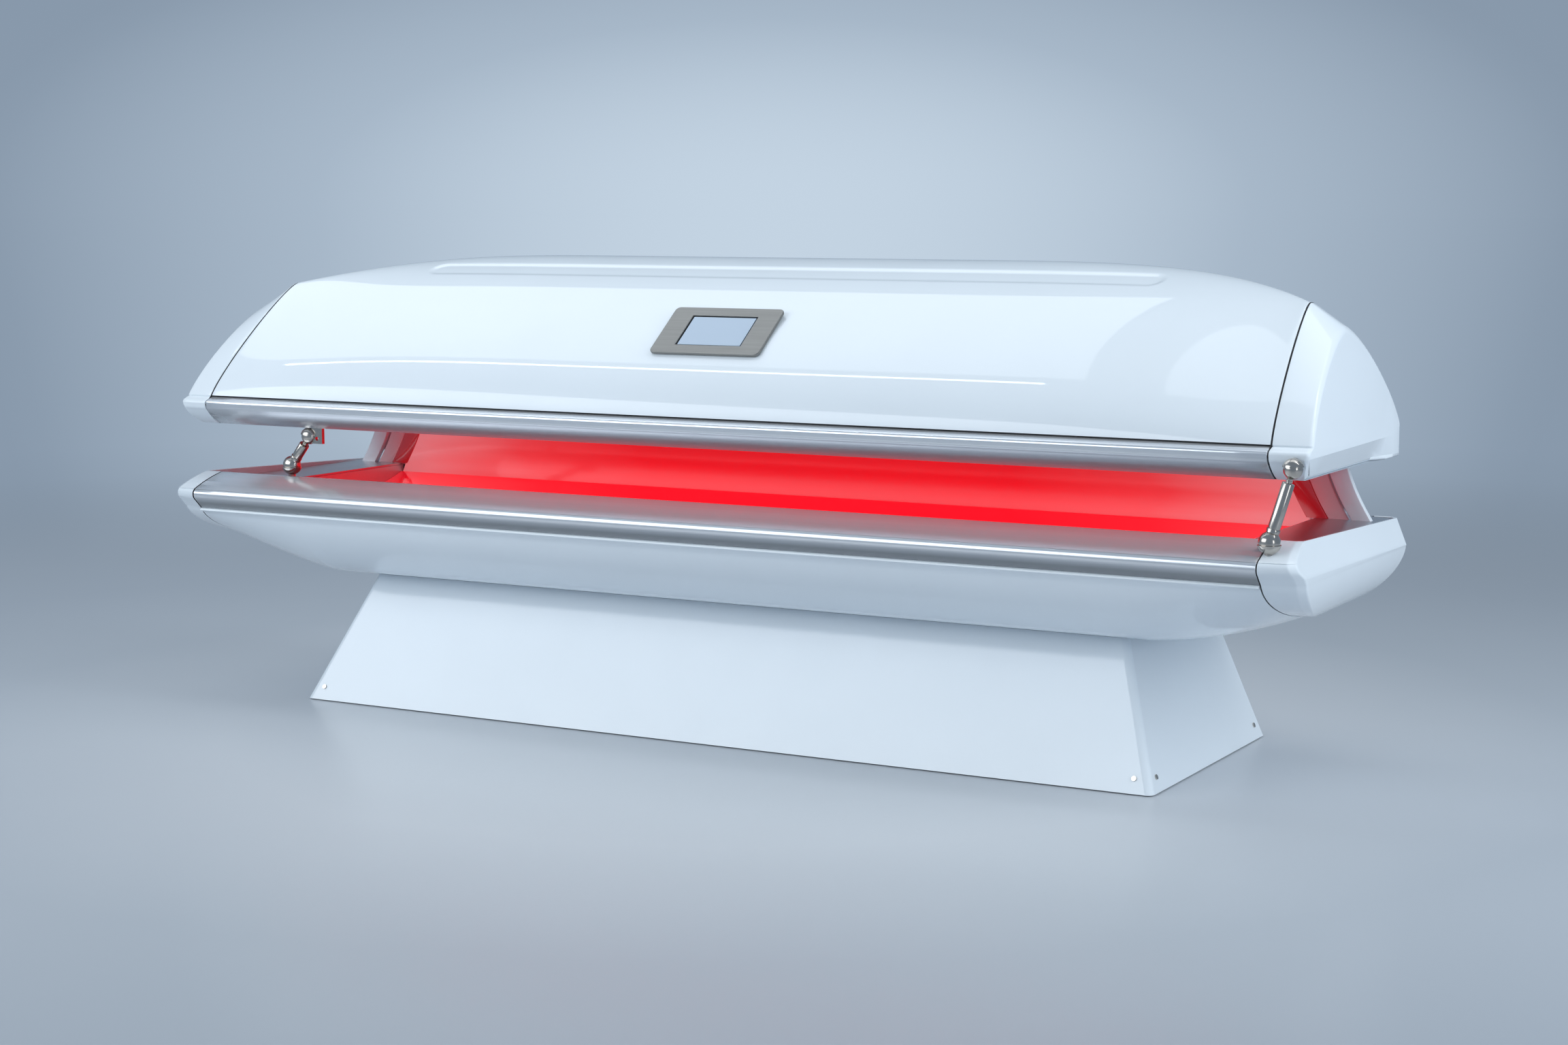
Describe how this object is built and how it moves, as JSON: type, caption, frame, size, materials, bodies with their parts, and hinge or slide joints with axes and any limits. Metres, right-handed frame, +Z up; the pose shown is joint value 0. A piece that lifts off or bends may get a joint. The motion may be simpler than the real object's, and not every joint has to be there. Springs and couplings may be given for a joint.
{
  "type": "red light therapy bed",
  "caption": "Lie-down light therapy bed: sloping pedestal, boat-shaped bench with a lit acrylic trough, and a hinged arched canopy with aluminium rails and a touch screen.",
  "frame": {"origin": "on the floor under the middle of the bed's bounding box", "axes": "+X along the bed towards the end with the outside strut, -Y to the front with the screen, +Z up"},
  "size_m": [2.334, 0.672, 0.8804],
  "materials": {
    "white_shell": "cool white gloss moulding",
    "rail_aluminium": "satin anodised extrusion",
    "frame_steel": "powder coat",
    "black_rubber": "matt",
    "bright_steel": "nickel plate",
    "deck_grey": "satin metallic grey",
    "trim_grey": "satin grey",
    "red_sheet": "red-tinted acrylic",
    "red_lit": "lit red diffuser",
    "dark_red": "dark red strip",
    "lamp_tray": "bare sheet",
    "lamp_board": "white solder mask",
    "black_plastic": "fine texture",
    "driver_case": "extruded case",
    "bezel_steel": "brushed",
    "screen_glass": "pale blue-grey display glass"
  },
  "bodies": {
    "base": {"pedestal_cover": "white_shell", "bench_hull": "white_shell", "bench_end_cap_left": "white_shell", "bench_end_cap_right": "white_shell", "rear_ribs": "white_shell", "bench_front_rail": "rail_aluminium", "bench_rear_rail": "rail_aluminium", "base_frame": "frame_steel", "bench_frame": "frame_steel", "driver_shelf": "frame_steel", "hinge_bracket_left": "frame_steel", "hinge_bracket_right": "frame_steel", "pedestal_gasket": "black_rubber", "bench_seam_gaskets": "black_rubber", "levelling_feet": "black_rubber", "pedestal_screws": "bright_steel", "hinge_pins": "bright_steel", "left_strut_lower_socket": "bright_steel", "right_strut_lower_socket": "bright_steel", "bench_deck": "deck_grey", "rear_wall_frame": "deck_grey", "trough_end_plates": "deck_grey", "rear_trims": "trim_grey", "bench_acrylic": "red_sheet", "rear_wall_diffuser": "red_lit", "rear_end_strips": "dark_red", "bench_led_tray": "lamp_tray", "bench_led_boards": "lamp_board", "mains_inlet": "black_plastic", "fan_housing_left": "black_plastic", "fan_housing_right": "black_plastic", "led_driver_left": "driver_case", "led_driver_right": "driver_case"},
    "canopy": {"canopy_shell": "white_shell", "canopy_end_cap_left": "white_shell", "canopy_end_cap_right": "white_shell", "canopy_front_rail": "rail_aluminium", "canopy_rear_rail": "rail_aluminium", "canopy_seam_gaskets": "black_rubber", "canopy_ribs": "frame_steel", "canopy_end_plates": "deck_grey", "canopy_acrylic": "red_sheet", "canopy_led_tray": "lamp_tray", "canopy_led_boards": "lamp_board", "hinge_arm_left": "frame_steel", "hinge_arm_right": "frame_steel", "screen_bezel": "bezel_steel", "screen_glass": "screen_glass", "screen_module": "black_plastic", "left_strut_upper_socket": "bright_steel", "right_strut_upper_socket": "bright_steel"},
    "left_strut": {"left_strut_cylinder": "bright_steel"},
    "left_rod": {"left_strut_rod": "bright_steel"},
    "right_strut": {"right_strut_cylinder": "bright_steel"},
    "right_rod": {"right_strut_rod": "bright_steel"},
    "fan_left": {"fan_rotor_left": "black_plastic"},
    "fan_right": {"fan_rotor_right": "black_plastic"}
  },
  "joints": [
    {"name": "canopy_hinge", "type": "hinge", "parent": "base", "child": "canopy", "pos_m": [0, 0.288, 0.497], "axis": [-1, 0, 0], "range_deg": [0, 45]},
    {"name": "right_strut_tilt", "type": "hinge", "parent": "base", "child": "right_strut", "pos_m": [1.109, -0.304, 0.45], "axis": [1, 0, 0], "range_deg": [0, 6.5]},
    {"name": "right_rod_slide", "type": "slide", "parent": "right_strut", "child": "right_rod", "axis": [0.2781, 0.0455, 0.9595], "range_m": [0, 0.0315]},
    {"name": "left_strut_tilt", "type": "hinge", "parent": "base", "child": "left_strut", "pos_m": [-0.937, -0.226, 0.467], "axis": [1, 0, 0], "range_deg": [0, 6.5]},
    {"name": "left_rod_slide", "type": "slide", "parent": "left_strut", "child": "left_rod", "axis": [0.6588, -0.0994, 0.7458], "range_m": [0, 0.0189]},
    {"name": "fan_left_spin", "type": "hinge", "parent": "base", "child": "fan_left", "pos_m": [-0.4, 0.046, 0.27], "axis": [0, 0, 1], "continuous": true},
    {"name": "fan_right_spin", "type": "hinge", "parent": "base", "child": "fan_right", "pos_m": [0.4, 0.046, 0.27], "axis": [0, 0, 1], "continuous": true}
  ],
  "couplings": [
    {"joint": "right_strut_tilt", "follows": "canopy_hinge", "ratio": 0.13333},
    {"joint": "right_rod_slide", "follows": "canopy_hinge", "m_per_rad": 0.0382},
    {"joint": "left_strut_tilt", "follows": "canopy_hinge", "ratio": 0.13333},
    {"joint": "left_rod_slide", "follows": "canopy_hinge", "m_per_rad": 0.02292}
  ]
}
